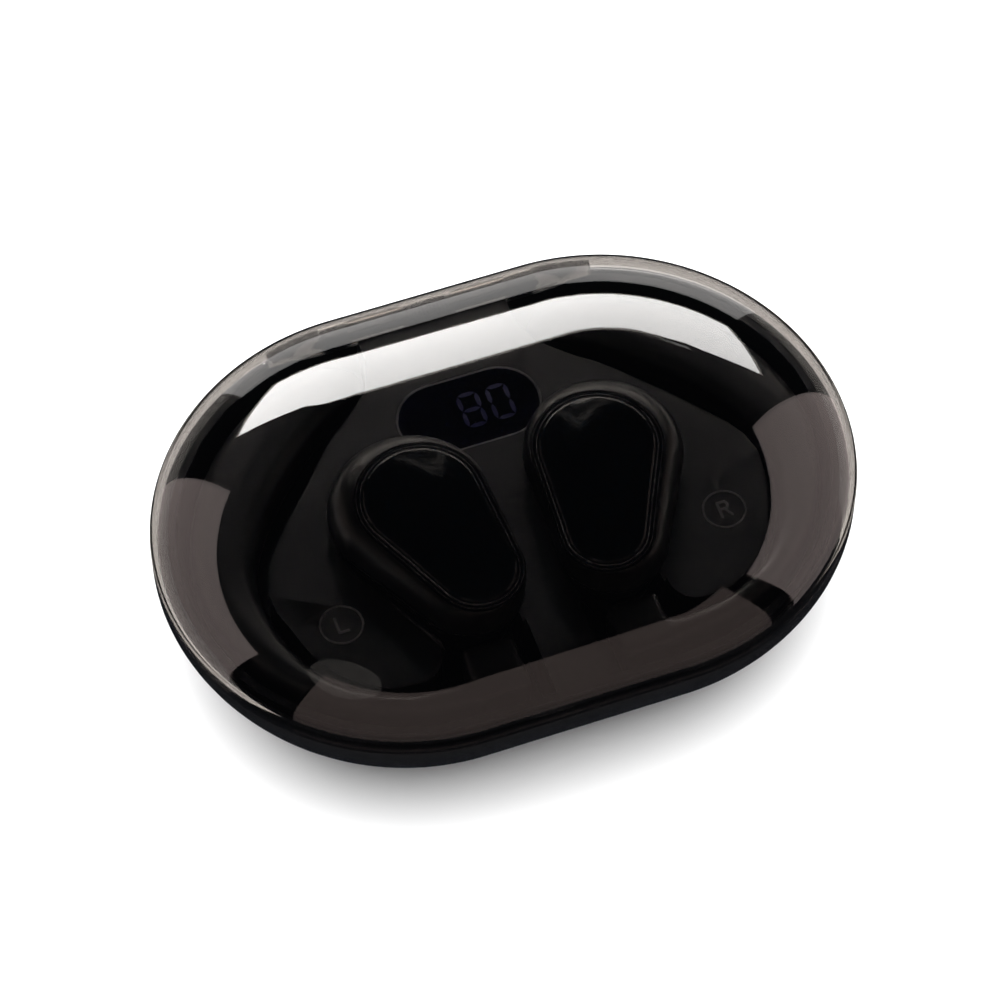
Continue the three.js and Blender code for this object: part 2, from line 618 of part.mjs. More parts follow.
const faceTop = PLATEAU + FACE_RISE;
const ledge = faceTop - FACE_THICKNESS - FIT_GAP;
const ringMargin = FIT_GAP + RING_WIDTH;

function faceplate() {
  const bottom = faceTop - FACE_THICKNESS;
  return loft([[bottom, pear(FACE)], [faceTop - FACE_EDGE, pear(FACE)], [faceTop, pear(FACE, -FACE_EDGE)]]);
}

function trimRing() {
  const bottom = faceTop - FACE_THICKNESS;
  const top = faceTop - RING_DROP;
  const outside = [[bottom, pear(FACE, ringMargin)], [top - RING_CHAMFER.height, pear(FACE, ringMargin)],
    [top, pear(FACE, ringMargin - RING_CHAMFER.width)]];
  return geometryOf(solid(loft(outside)).subtract(solid(prism(pear(FACE, FIT_GAP), [0, BEYOND]))));
}

// Body outline at a height between the waist and the shoulder's top, set in by a wall
function shoulderLevel(t, inset) {
  const wideRadius = FACE.wideRadius + RIM_MARGIN;
  const narrowRadius = FACE.narrowRadius + RIM_MARGIN;
  const rim = { ...FACE, wideRadius, narrowRadius };
  const [drawIn, rise] = corner(t, 2);
  return [WAIST + (SHOULDER_RISE - WAIST_RISE - inset) * rise, pear(blendPears(BODY, rim, drawIn), -inset)];
}

function outerShell() {
  const steps = [0, 0.25, 0.5, 0.75, 1];
  const level = (inset) => steps.map((t) => shoulderLevel(t, inset));
  const outside = solid(loft([[PARTING, pear(BODY)], ...level(0)]));
  const inside = solid(loft([[PARTING - PAST, pear(BODY, -SHELL_WALL)], ...level(SHELL_WALL)]));
  const seat = solid(prism(pear(FACE, ringMargin + RING_ROOM), [ledge, BEYOND]));
  const opening = solid(prism(pear(FACE, -LEDGE.opening), [0, BEYOND]));
  const roof = solid(prism(pear(FACE, LEDGE.reach), [ledge - LEDGE.thickness, ledge])).subtract(opening);
  return geometryOf(outside.subtract(inside.subtract(roof)).subtract(seat).subtract(opening));
}

// Body outlines from its underside up to a height under the waist, set in by a wall
function lowerLevels(inset, top) {
  const levels = BODY_SIDE.map(([drop, drawIn]) => [WAIST - drop, pear(BODY, -drawIn - inset)]);
  levels[levels.length - 1][0] += inset;
  return [...levels.reverse(), [top, pear(BODY, -inset)]];
}

function innerShell() {
  const top = PARTING - FIT_GAP;
  const through = [0, BODY_BOTTOM + SHELL_WALL + PAST];
  let shell = solid(loft(lowerLevels(0, top))).subtract(solid(loft(lowerLevels(SHELL_WALL, top + PAST))));
  shell = shell.subtract(solid(disc(BODY.wide, NOZZLE_RADIUS - NOZZLE_WALL, through, NOZZLE_SIDES)));
  for (const at of CONTACTS) {
    shell = shell.subtract(solid(disc(at, CONTACT_RADIUS + FIT_GAP, through)));
  }
  return geometryOf(shell);
}

// The tube that the ear tip pushes onto, with the flange that holds it under the shell
function nozzle() {
  const bore = NOZZLE_RADIUS - NOZZLE_WALL;
  const top = BODY_BOTTOM - FIT_GAP;
  const flange = { radius: NOZZLE_RADIUS + NOZZLE_WALL, under: top - NOZZLE_FLANGE };
  const profile = [[bore, NOZZLE_END], [NOZZLE_RADIUS, NOZZLE_END], [NOZZLE_RADIUS, flange.under],
    [flange.radius, flange.under], [flange.radius, top], [bore, top], [bore, NOZZLE_END]];
  const points = profile.map(([r, z]) => new THREE.Vector2(r, z));
  return new THREE.LatheGeometry(points, NOZZLE_SIDES).rotateX(Math.PI / 2).translate(...BODY.wide, 0);
}

const nozzleMesh = () => {
  const bottom = NOZZLE_END + NOZZLE_MESH.recess;
  const radius = NOZZLE_RADIUS - NOZZLE_WALL - FIT_GAP;
  return disc(BODY.wide, radius, [bottom, bottom + NOZZLE_MESH.thickness]);
};

// A silicone tip: a sleeve on the nozzle with a skirt folded back round it. Its profile is
// [radius, height above its lower end], up the outside of the skirt, down its inside and up the sleeve.
function earTip() {
  const bore = NOZZLE_RADIUS + FIT_GAP;
  const sleeve = bore + TIP_SLEEVE;
  const skirt = TIP_RADIUS;
  const profile = [[bore, 0], [sleeve + 0.1, 0.1], [skirt - 1.2, 1.2], [skirt - 0.2, 3], [skirt, 4.6],
    [skirt - 0.5, TIP_LENGTH - 0.2], [skirt - 0.9, TIP_LENGTH - 0.4], [skirt - 0.8, 4.4], [skirt - 1.2, 3.2],
    [sleeve + 0.3, 2.1], [sleeve, TIP_LENGTH], [bore, TIP_LENGTH], [bore, 0]];
  const points = profile.map(([r, z]) => new THREE.Vector2(r, TIP_BOTTOM + z));
  return new THREE.LatheGeometry(points, ROUND_SIDES).rotateX(Math.PI / 2).translate(...BODY.wide, 0);
}

const stacked = ({ radius, height, drop }) =>
  disc(BODY.wide, radius, [CELL_TOP - drop - height, CELL_TOP - drop], ROUND_SIDES);
const budBoard = () => {
  const z0 = PLATEAU + BUD_BOARD.rise;
  return prism(pear(BODY, -BUD_BOARD.inset), [z0, z0 + BUD_BOARD.height]);
};
const budMagnet = () => {
  const z0 = BODY_BOTTOM + SHELL_WALL + BUD_MAGNET.rise;
  return disc(BUD_MAGNET.at, BUD_MAGNET.radius, [z0, z0 + BUD_MAGNET.height]);
};
const contact = (at) => disc(at, CONTACT_RADIUS, [padBottom(), BODY_BOTTOM + SHELL_WALL]);

// Swept along the trench, with a blunt root that meets the narrow end of the body
function earHook() {
  const mid = PLATEAU + HOOK_TOP - HOOK_HEIGHT / 2;
  const wall = END_RADIUS - TRENCH_INSET;
  const places = HOOK_ROUTE.map(([degrees, fromWall]) => {
    const angle = THREE.MathUtils.degToRad(degrees);
    const radius = wall - fromWall;
    return new THREE.Vector3(END_CENTRE + radius * Math.cos(angle), radius * Math.sin(angle), mid);
  });
  places.push(new THREE.Vector3(STEM.sides[1] - HOOK_ROOT.insideStem, HOOK_ROOT.fromWall - wall, mid));
  const route = new THREE.CatmullRomCurve3(places);
  const halves = [...HOOK_ROUTE.map(([, , half]) => half), HOOK_ROOT.half];
  const widths = new THREE.SplineCurve(halves.map((half, i) => new THREE.Vector2(i, half)));
  const stations = 2 * (places.length - 1);
  const rings = [];
  for (let i = 0; i <= stations; i += 1) {
    const t = i / stations;
    const tangent = route.getTangent(t);
    const across = new THREE.Vector3(-tangent.y, tangent.x, 0).normalize();
    const taper = Math.min(1, HOOK_TIP.share + i / HOOK_TIP.stations);
    rings.push(hookSection(route.getPoint(t), across, widths.getPoint(t).y * taper, HOOK_HEIGHT * taper));
  }
  const stemTop = PLATEAU + HOOK_TOP;
  const front = -END_RADIUS + TRENCH_INSET + STEM.frontGap;
  const stem = box(STEM.sides, [front, STEM.back], [stemTop - STEM.height, stemTop]);
  return geometryOf(solid(skin(rings)).add(solid(stem)));
}

function hookSection(centre, across, half, height) {
  const { sides, softness } = HOOK_SECTION;
  return Array.from({ length: sides }, (_, k) => {
    const angle = (k / sides) * 2 * Math.PI;
    const soft = (value) => Math.sign(value) * Math.abs(value) ** softness;
    const point = centre.clone().addScaledVector(across, half * soft(Math.cos(angle)));
    point.z += (height / 2) * soft(Math.sin(angle));
    return point;
  });
}

// ---- Scene graph ---------------------------------------------------------------------------------

const finish = (color, roughness, metalness = 0) =>
  new THREE.MeshStandardMaterial({ color, roughness, metalness });
const glossBlack = finish(0x0b0b0c, 0.15);
const satinBlack = finish(0x151516, 0.4);
const smokedClear = finish(0x2b2a2a, 0.05);
const softRubber = finish(0x1b1c1e, 0.7);
const steel = finish(0x9a9a9c, 0.3, 1);
const gold = finish(0xc9a24b, 0.3, 1);
const green = finish(0x14412a, 0.5);
const silver = finish(0xb4b6ba, 0.4, 0.8);
const darkGlass = finish(0x050814, 0.05);
const foam = finish(0x2c2c2c, 0.9);

function node(name, geometry, material) {
  const mesh = new THREE.Mesh(geometry, material);
  mesh.name = name;
  return mesh;
}

// The pieces of one side. The left side is the right one mirrored in the middle of the case.
function sideGroup(name, side) {
  const group = new THREE.Group();
  group.scale.x = side;
  group.add(
    node(`${name}_faceplate`, faceplate(), glossBlack),
    node(`${name}_trim_ring`, trimRing(), glossBlack),
    node(`${name}_outer_shell`, outerShell(), satinBlack),
    node(`${name}_inner_shell`, innerShell(), satinBlack),
    node(`${name}_nozzle`, nozzle(), satinBlack),
    node(`${name}_nozzle_mesh`, nozzleMesh(), steel),
    node(`${name}_ear_tip`, earTip(), softRubber),
    node(`${name}_ear_hook`, earHook(), softRubber),
    node(`${name}_driver`, stacked(DRIVER), steel),
    node(`${name}_cell`, stacked(CELL), silver),
    node(`${name}_bud_board`, budBoard(), green),
    node(`${name}_bud_magnet`, budMagnet(), steel),
    node(`${name}_pin_block`, pinBlock(), satinBlack),
    node(`${name}_case_magnet`, caseMagnet(), steel),
  );
  CONTACTS.forEach((at, i) => {
    group.add(node(`${name}_contact_${i + 1}`, contact(at), gold));
    group.add(node(`${name}_plunger_${i + 1}`, plunger(at), gold));
  });
  return group;
}

const group = new THREE.Group();
group.add(
  node("lid_shell", lidShell(), smokedClear),
  node("hinge_pin", hingePin(), steel),
  node("hinge_spring", hingeSpring(), steel),
  node("base_shell", baseShell(), glossBlack),
  node("inner_tray", innerTray(), satinBlack),
  node("display_window", displayWindow(), darkGlass),
  node("display_module", displayModule(), satinBlack),
  node("display_flex", displayFlex(), gold),
  node("marker_left", marker(-1), satinBlack),
  node("marker_right", marker(1), satinBlack),
  node("main_board", mainBoard(), green),
  node("charge_controller", chargeController(), satinBlack),
  node("inductor", inductor(), foam),
  node("board_screw_left", boardScrew(-1), steel),
  node("board_screw_right", boardScrew(1), steel),
  node("case_battery", caseBattery(), silver),
  node("battery_pad", batteryPad(), foam),
  node("usb_shell", usbShell(), steel),
  node("usb_tongue", usbTongue(), satinBlack),
  sideGroup("left", -1),
  sideGroup("right", 1),
);

export default group;
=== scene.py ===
# %% [markdown]
# # A charging case for earbuds with ear hooks
# The case is a black pebble with a smoked clear lid. Two earbuds lie in the tray under the lid, each with
# its hook bent round the end of the case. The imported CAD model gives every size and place, and this
# notebook builds the finished surfaces round it. Shapes are worked out in millimetres and scaled to
# metres as each piece is finished, because a product this small is easier to think about that way.

# %% Load the frame
import json
import math

import bmesh
import bpy
from mathutils import Matrix, Vector


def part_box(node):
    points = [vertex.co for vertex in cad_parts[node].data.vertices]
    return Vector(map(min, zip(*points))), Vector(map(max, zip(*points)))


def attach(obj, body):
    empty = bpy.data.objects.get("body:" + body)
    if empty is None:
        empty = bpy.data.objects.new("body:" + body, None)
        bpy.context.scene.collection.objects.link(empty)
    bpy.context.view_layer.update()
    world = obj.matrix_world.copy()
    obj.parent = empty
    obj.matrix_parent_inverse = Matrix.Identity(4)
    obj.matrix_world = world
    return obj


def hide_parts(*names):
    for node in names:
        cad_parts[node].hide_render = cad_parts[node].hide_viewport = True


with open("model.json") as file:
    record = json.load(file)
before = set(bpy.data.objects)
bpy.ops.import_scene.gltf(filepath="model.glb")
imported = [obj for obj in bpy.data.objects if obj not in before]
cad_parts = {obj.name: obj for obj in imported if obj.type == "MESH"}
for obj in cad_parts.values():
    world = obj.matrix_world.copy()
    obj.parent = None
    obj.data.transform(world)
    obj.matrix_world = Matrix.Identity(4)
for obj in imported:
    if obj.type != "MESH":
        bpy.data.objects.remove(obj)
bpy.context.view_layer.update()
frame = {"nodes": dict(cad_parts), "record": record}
MM = 0.001

# %% [markdown]
# The case's outline is a stadium: two half circles joined by straight sides. Its radius, the centre of
# each end, the seam between base and lid and the tray's top all come from the boxes of CAD nodes, so
# the looks follow the CAD model if it is packed again at another size.

# %% Sizes that everything shares
def box_mm(node):
    low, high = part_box(node)
    return low / MM, high / MM


LID_HIGH = box_mm("lid_shell")[1]
TRAY_HIGH = box_mm("inner_tray")[1]
END_RADIUS = LID_HIGH.y
END_CENTRE = LID_HIGH.x - END_RADIUS
TOP = LID_HIGH.z
PLATEAU = TRAY_HIGH.z
PLATEAU_RISE = 1.2  # the tray's top stands this far above the seam
SEAM = PLATEAU - PLATEAU_RISE
FIT_GAP = 0.3
print(f"outline {2 * LID_HIGH.x:.1f} x {2 * LID_HIGH.y:.1f}, seam {SEAM:.1f}, top {TOP:.1f} mm")

# %% [markdown]
# The view is a long lens looking down on the case from the front left. The picture is square, and a
# very small shift puts the case a little right of the middle.

# %% Camera
VIEW_AZIMUTH = math.radians(-19.5)
VIEW_ELEVATION = math.radians(57.6)
VIEW_DISTANCE = 0.5
back = Vector((math.sin(VIEW_AZIMUTH) * math.cos(VIEW_ELEVATION),
               -math.cos(VIEW_AZIMUTH) * math.cos(VIEW_ELEVATION), math.sin(VIEW_ELEVATION)))
camera = bpy.data.objects.new("camera", bpy.data.cameras.new("camera"))
bpy.context.scene.collection.objects.link(camera)
bpy.context.scene.camera = camera
camera.location = Vector((0, 0, SEAM * MM)) + back * VIEW_DISTANCE
camera.rotation_mode = "QUATERNION"
camera.rotation_quaternion = (-back).to_track_quat("-Z", "Y")
camera.data.lens = 150
camera.data.sensor_width = 36
camera.data.shift_x = -0.005
camera.data.shift_y = 0.002
camera.data.clip_start = 0.01
camera.data.clip_end = 20
print("camera at", [round(c, 3) for c in camera.location])

# %% [markdown]
# A glossy black product is lit by what it mirrors. Everything overhead is dark, so the flat of the lid
# stays black. Large glowing cards stand a metre from the case and show as bands on the lid's shoulder.
# They are hidden from the camera and cast no shadow. The floor is in two halves. Mirrors see neither, and
# only the back half shows through clear plastic, which lights the lid's far rim and leaves its front lip
# dark. A wide lamp lights the floor and makes the soft shadow, and a small weak one picks out the tray.

# %% Floor, cards and lamps
CARD_STEPS = 12
NEUTRAL = (1, 1, 1)
WARM = (1, 0.84, 0.82)
WARMER = (1, 0.8, 0.76)
LAMP_DISTANCE = 0.9
scene = bpy.context.scene
scene.view_settings.view_transform = "Standard"


def stage_material(name, colour, strength=0.0, fade=None):
    """White or glowing stage surface; fade is where along it the glow changes, from and to, and to what."""
    material = bpy.data.materials.new(name)
    material.use_nodes = True
    nodes, links = material.node_tree.nodes, material.node_tree.links
    shader = nodes["Principled BSDF"]
    shader.inputs["Base Color"].default_value = (*colour, 1)
    shader.inputs["Roughness"].default_value = 0.9
    shader.inputs["Specular IOR Level"].default_value = 0
    if strength:
        shader.inputs["Base Color"].default_value = (0, 0, 0, 1)
        shader.inputs["Emission Color"].default_value = (*colour, 1)
        shader.inputs["Emission Strength"].default_value = strength
    if fade:
        place = nodes.new("ShaderNodeTexCoord")
        split = nodes.new("ShaderNodeSeparateXYZ")
        dim = nodes.new("ShaderNodeMapRange")
        start, end, end_strength = fade
        dim.inputs["From Min"].default_value, dim.inputs["From Max"].default_value = start, end
        dim.inputs["To Min"].default_value, dim.inputs["To Max"].default_value = strength, end_strength
        links.new(place.outputs["UV"], split.inputs[0])
        links.new(split.outputs["X"], dim.inputs["Value"])
        links.new(dim.outputs[0], shader.inputs["Emission Strength"])
    return material


def direction(azimuth, elevation):
    """Unit vector; azimuth is from the back of the case (+Y) round to its right end (+X)."""
    a, e = math.radians(azimuth), math.radians(elevation)
    return Vector((math.sin(a) * math.cos(e), math.cos(a) * math.cos(e), math.sin(e)))


def stage_object(name, bm, material):
    mesh = bpy.data.meshes.new(name)
    bm.to_mesh(mesh)
    bm.free()
    mesh.materials.append(material)
    thing = bpy.data.objects.new(name, mesh)
    scene.collection.objects.link(thing)
    return thing


def hide_from_all_but_mirrors(thing):
    thing.visible_camera = False
    thing.visible_shadow = False
    thing.visible_diffuse = False


def bent_card(name, azimuths, elevations, strength, colour):
    """A card bent round the case between two azimuths and two elevations."""
    bm = bmesh.new()
    bmesh.ops.create_grid(bm, x_segments=CARD_STEPS, y_segments=CARD_STEPS, size=0.5)
    for v in bm.verts:
        turn = azimuths[0] + (v.co.x + 0.5) * (azimuths[1] - azimuths[0])
        rise = elevations[0] + (v.co.y + 0.5) * (elevations[1] - elevations[0])
        v.co = direction(turn, rise)
    hide_from_all_but_mirrors(stage_object(name, bm, stage_material(name, colour, strength)))


def cornered_card(name, corners, strength, fade=None):
    """A softbox with many sides, given by the azimuth and elevation of each corner."""
    bm = bmesh.new()
    face = bm.faces.new([bm.verts.new(direction(*corner_place)) for corner_place in corners])
    uv = bm.loops.layers.uv.verify()
    turns = [corner_place[0] for corner_place in corners]
    for loop, turn in zip(face.loops, turns):
        loop[uv].uv = ((turn - min(turns)) / (max(turns) - min(turns)), 0.5)
    hide_from_all_but_mirrors(stage_object(name, bm, stage_material(name, NEUTRAL, strength, fade)))


FLOOR_WHITE = stage_material("floor", (0.95, 0.95, 0.95))
FLOOR_HALF = 3.0
FLOOR_SPLIT = -20 * MM
for name, side in (("floor_front", -1), ("floor_back", 1)):
    half = bmesh.new()
    bmesh.ops.create_grid(half, x_segments=1, y_segments=1, size=FLOOR_HALF)
    bmesh.ops.translate(half, verts=half.verts, vec=(0, side * FLOOR_HALF + FLOOR_SPLIT, 0))
    floor = stage_object(name, half, FLOOR_WHITE)
    floor.visible_glossy = False
    floor.visible_transmission = side > 0

SOFTBOX = [(-19.5, 25), (-6, 16), (12, 19), (43.6, 17), (55.5, 26.7), (36, 40), (20, 50), (12, 50),
           (-2.6, 37)]
SOFTBOX_RIM = [(12, 51.3), (20, 51.3), (36.5, 41.3), (37, 41.9), (20.3, 52), (12, 52)]
cornered_card("back_softbox", SOFTBOX, strength=10.8, fade=(0.3, 1.0, 7.4))
cornered_card("softbox_rim", SOFTBOX_RIM, strength=1.6)
bent_card("back_sweep", (-12, 44), (-8, 9), strength=1.2, colour=NEUTRAL)
bent_card("left_card", (-96, -33), (-12, 36), strength=1.1, colour=WARM)
bent_card("right_card", (64, 127), (-12, 44), strength=1.05, colour=WARM)
bent_card("front_card", (137, 239), (-12, 49), strength=0.42, colour=WARMER)


def lamp(name, azimuth, elevation, size, power, through_lid=False):
    data = bpy.data.lights.new(name, "AREA")
    data.shape = "DISK"
    data.size = size
    data.energy = power
    thing = bpy.data.objects.new(name, data)
    scene.collection.objects.link(thing)
    thing.location = direction(azimuth, elevation) * LAMP_DISTANCE
    thing.rotation_mode = "QUATERNION"
    thing.rotation_quaternion = thing.location.to_track_quat("Z", "Y")
    thing.visible_camera = False
    thing.visible_glossy = False
    thing.visible_transmission = through_lid


lamp("floor_lamp", 15, 84, size=1.7, power=36)
lamp("tray_lamp", -130, 50, size=0.35, power=0.3, through_lid=True)

world = bpy.data.worlds.new("world")
scene.world = world
world.use_nodes = True
sky = world.node_tree.nodes["Background"]
sky.inputs["Color"].default_value = (0.012, 0.013, 0.016, 1)
seen = world.node_tree.nodes.new("ShaderNodeBackground")
seen.inputs["Color"].default_value = (1, 1, 1, 1)
rays = world.node_tree.nodes.new("ShaderNodeLightPath")
either = world.node_tree.nodes.new("ShaderNodeMixShader")
world.node_tree.links.new(rays.outputs["Is Camera Ray"], either.inputs[0])
world.node_tree.links.new(sky.outputs[0], either.inputs[1])
world.node_tree.links.new(seen.outputs[0], either.inputs[2])
world.node_tree.links.new(either.outputs[0], world.node_tree.nodes["World Output"].inputs["Surface"])

# %% [markdown]
# Every finish is a small variation on one recipe: a base colour that wanders slightly, roughness that
# wanders with it, and a fine relief. Moulded plastic, silicone, plated metal and solder mask differ in
# how large the grain is and how strongly it shows.

# %% Finishes
BROAD = 25  # the broad patches are this many times larger than the grain
RELIEF_UNIT = 1e-5


def finish(name, colour, roughness, spread=0.05, grain=1500, relief=0.05, metal=0.0, tone=0.25, stretch=None,
           **sockets):
    """A Principled finish with a fine grain; grain is in cells per metre, relief in hundredths of a mm."""
    material = bpy.data.materials.new(name)
    material.use_nodes = True
    nodes, links = material.node_tree.nodes, material.node_tree.links
    shader = nodes["Principled BSDF"]
    place = nodes.new("ShaderNodeTexCoord").outputs["Object"]
    if stretch:
        mapping = nodes.new("ShaderNodeMapping")
        mapping.inputs["Scale"].default_value = stretch
        links.new(place, mapping.inputs["Vector"])
        place = mapping.outputs["Vector"]
    fine = nodes.new("ShaderNodeTexNoise")
    fine.inputs["Scale"].default_value = grain
    fine.inputs["Detail"].default_value = 3
    broad = nodes.new("ShaderNodeTexNoise")
    broad.inputs["Scale"].default_value = grain / BROAD
    broad.inputs["Detail"].default_value = 2
    for noise in (fine, broad):
        links.new(place, noise.inputs["Vector"])
    shades = nodes.new("ShaderNodeMix")
    shades.data_type = "RGBA"
    shades.inputs["A"].default_value = (*[c * (1 - tone) for c in colour], 1)
    shades.inputs["B"].default_value = (*[c * (1 + tone) for c in colour], 1)
    links.new(broad.outputs["Fac"], shades.inputs["Factor"])
    links.new(shades.outputs["Result"], shader.inputs["Base Color"])
    wander = nodes.new("ShaderNodeMapRange")
    wander.inputs["From Min"].default_value, wander.inputs["From Max"].default_value = 0.3, 0.7
    wander.inputs["To Min"].default_value = max(0.0, roughness - spread)
    wander.inputs["To Max"].default_value = roughness + spread
    links.new(broad.outputs["Fac"], wander.inputs["Value"])
    links.new(wander.outputs["Result"], shader.inputs["Roughness"])
    bump = nodes.new("ShaderNodeBump")
    bump.inputs["Strength"].default_value = 0.6
    bump.inputs["Distance"].default_value = relief * RELIEF_UNIT
    links.new(fine.outputs["Fac"], bump.inputs["Height"])
    links.new(bump.outputs["Normal"], shader.inputs["Normal"])
    shader.inputs["Metallic"].default_value = metal
    for socket, value in sockets.items():
        shader.inputs[socket.replace("_", " ")].default_value = value
    return material


TINT_DENSITY = 1070  # per metre, so the wall of under a millimetre still looks nearly black


def smoked_clear():
    """Clear plastic tinted through its thickness, with the faint haze of fine handling marks."""
    material = finish("smoked_clear", (0.97, 0.96, 0.955), 0.01, spread=0.008, grain=900, relief=0.001,
                      tone=0.02, Transmission_Weight=1.0, IOR=1.56)
    nodes, links = material.node_tree.nodes, material.node_tree.links
    tint = nodes.new("ShaderNodeVolumeAbsorption")
    tint.inputs["Color"].default_value = (0.30, 0.26, 0.22, 1)
    tint.inputs["Density"].default_value = TINT_DENSITY
    links.new(tint.outputs[0], nodes["Material Output"].inputs["Volume"])
    return material


def faint_glow():
    """Segments of a display that is nearly off."""
    material = finish("faint_glow", (0.01, 0.01, 0.03), 0.3, spread=0.02, relief=0.01)
    shader = material.node_tree.nodes["Principled BSDF"]
    shader.inputs["Emission Color"].default_value = (0.14, 0.16, 1.0, 1)
    shader.inputs["Emission Strength"].default_value = 0.014
    return material


FINISHES = {
    "lid_plastic": smoked_clear(),
    "base_plastic": finish("piano_black", (0.006, 0.006, 0.0065), 0.12, spread=0.03, grain=1200, relief=0.02,
                           Coat_Weight=0.5, Coat_Roughness=0.03),
    "tray_plastic": finish("satin_black", (0.008, 0.008, 0.0085), 0.34, grain=5000, relief=0.5),
    "bud_gloss": finish("touch_face_black", (0.001, 0.005, 0.011), 0.05, spread=0.015, grain=900,
                        relief=0.01),
    "bud_plastic": finish("soft_black", (0.009, 0.009, 0.0095), 0.36, grain=6000, relief=0.4),
    "soft_rubber": finish("black_silicone", (0.011, 0.011, 0.012), 0.5, grain=4000, relief=0.8),
    "display_glass": finish("display_blue_black", (0.002, 0.003, 0.016), 0.06, spread=0.02, relief=0.01),
    "steel": finish("plain_steel", (0.5, 0.5, 0.51), 0.3, metal=1.0, grain=3000, relief=0.3,
                    stretch=(1, 0.1, 1)),
    "gold": finish("gold_plate", (0.83, 0.6, 0.25), 0.25, metal=1.0, grain=4000, relief=0.3, tone=0.1),
    "circuit_board": finish("solder_mask", (0.01, 0.08, 0.035), 0.35, grain=2500, relief=0.8, tone=0.35),
    "cell_wrap": finish("foil_wrap", (0.62, 0.63, 0.65), 0.38, metal=0.8, grain=700, relief=2.5, tone=0.12),
    "foam": finish("black_foam", (0.02, 0.02, 0.02), 0.9, grain=3500, relief=9, tone=0.6),
}
# The two lips round each touch face are lighter than the black round them: painted highlights for the bright
# lines at the ring's edges.
LIP_SATIN_WITH_PAINTED_HIGHLIGHT = finish("lip_satin_with_painted_highlight", (0.22, 0.22, 0.23), 0.3, spread=0.04, grain=3000, relief=0.02, metal=0.6)
OUTER_LIP_PAINTED_HIGHLIGHT = finish("outer_lip_painted_highlight", (0.09, 0.09, 0.095), 0.35, grain=3000, relief=0.05)
# This light grey is print on the side marks' letters, and a painted highlight on the display's frame and the
# marks' rims.
PRINT_AND_PAINTED_HIGHLIGHT_GREY = finish("print_and_painted_highlight_grey", (0.22, 0.22, 0.23), 0.4, grain=3000, relief=0.05)
BLACK_STEEL = finish("blackened_steel", (0.03, 0.03, 0.032), 0.35, metal=1.0, grain=3000, relief=0.2)
print("finishes:", ", ".join(FINISHES))

# %% [markdown]
# Most of these shapes have an outline like a belt round two pegs: the case itself has two equal pegs and
# an earbud has a large and a small one. So one tool lofts them all. It makes a circle, sends each vertex
# to the peg whose side of the belt it lies on, and extrudes that ring from level to level.

# %% Lofting round two pegs
def pegs(first, first_radius, second, second_radius):
    return [(Vector((*first, 0)), first_radius), (Vector((*second, 0)), second_radius)]


def case_plan(inset=0.0):
    return pegs((-END_CENTRE, 0), END_RADIUS - inset, (END_CENTRE, 0), END_RADIUS - inset)


def send(bm, verts, start, start_z, goal, goal_z):
    """Moves a ring from one plan and height to another, each part of it with its own peg."""
    peg = bm.verts.layers.int["peg"]
    for which in (0, 1):
        (old, old_radius), (new, new_radius) = start[which], goal[which]
        size = new_radius / old_radius
        move = (Matrix.Translation(new + Vector((0, 0, goal_z))) @ Matrix.Diagonal((size, size, 1, 1))
                @ Matrix.Translation(-old - Vector((0, 0, start_z))))
        bmesh.ops.transform(bm, matrix=move, verts=[v for v in verts if v[peg] == which])


def loft(levels, segments=160, closed=True):
    """A solid through a list of (plan, z); both ends are filled flat."""
    bm = bmesh.new()
    peg = bm.verts.layers.int.new("peg")
    plan, z = levels[0]
    ring = bmesh.ops.create_circle(bm, segments=segments, radius=1.0)["verts"]
    bmesh.ops.rotate(bm, verts=ring, cent=(0, 0, 0), matrix=Matrix.Rotation(math.pi / segments, 3, "Z"))
    (first, first_radius), (second, second_radius) = plan
    along = second - first
    limit = (first_radius - second_radius) / along.length
    for v in ring:
        v[peg] = int(v.co.dot(along.normalized()) > limit)
    unit = [(Vector((0, 0, 0)), 1.0)] * 2
    send(bm, ring, unit, 0, plan, z)
    edges = list(bm.edges)
    if closed:
        bmesh.ops.edgeloop_fill(bm, edges=edges)
    for next_plan, next_z in levels[1:]:
        made = bmesh.ops.extrude_edge_only(bm, edges=edges)["geom"]
        edges = [e for e in made if isinstance(e, bmesh.types.BMEdge)]
        ring = [v for v in made if isinstance(v, bmesh.types.BMVert)]
        send(bm, ring, plan, z, next_plan, next_z)
        plan, z = next_plan, next_z
    if closed:
        bmesh.ops.edgeloop_fill(bm, edges=edges)
        bmesh.ops.recalc_face_normals(bm, faces=bm.faces)
    return bm


def rod(radius, reach, at, segments=48):
    """A rod along X between two x values, with its axis through (y, z)."""
    bm = bmesh.new()
    bmesh.ops.create_cone(bm, cap_ends=True, segments=segments, radius1=radius, radius2=radius,
                          depth=reach[1] - reach[0], matrix=Matrix.Rotation(math.pi / 2, 4, "Y"))
    bmesh.ops.translate(bm, verts=bm.verts, vec=((reach[0] + reach[1]) / 2, *at))
    return bm


def raw_object(bm, name="tool"):
    mesh = bpy.data.meshes.new(name)
    bm.to_mesh(mesh)
    bm.free()
    thing = bpy.data.objects.new(name, mesh)
    scene.collection.objects.link(thing)
    return thing


def cut(bm, tool_bm, operation="DIFFERENCE"):
    """Joins, cuts or keeps what two closed shapes share, and gives the result as a new bmesh."""
    target, tool = raw_object(bm, "target"), raw_object(tool_bm)
    modifier = target.modifiers.new("cut", "BOOLEAN")
    modifier.operation = operation
    modifier.object = tool
    modifier.solver = "EXACT"
    result = bpy.data.meshes.new_from_object(target.evaluated_get(bpy.context.evaluated_depsgraph_get()))
    made = bmesh.new()
    made.from_mesh(result)
    for thing in (target, tool):
        bpy.data.objects.remove(thing)
    return made


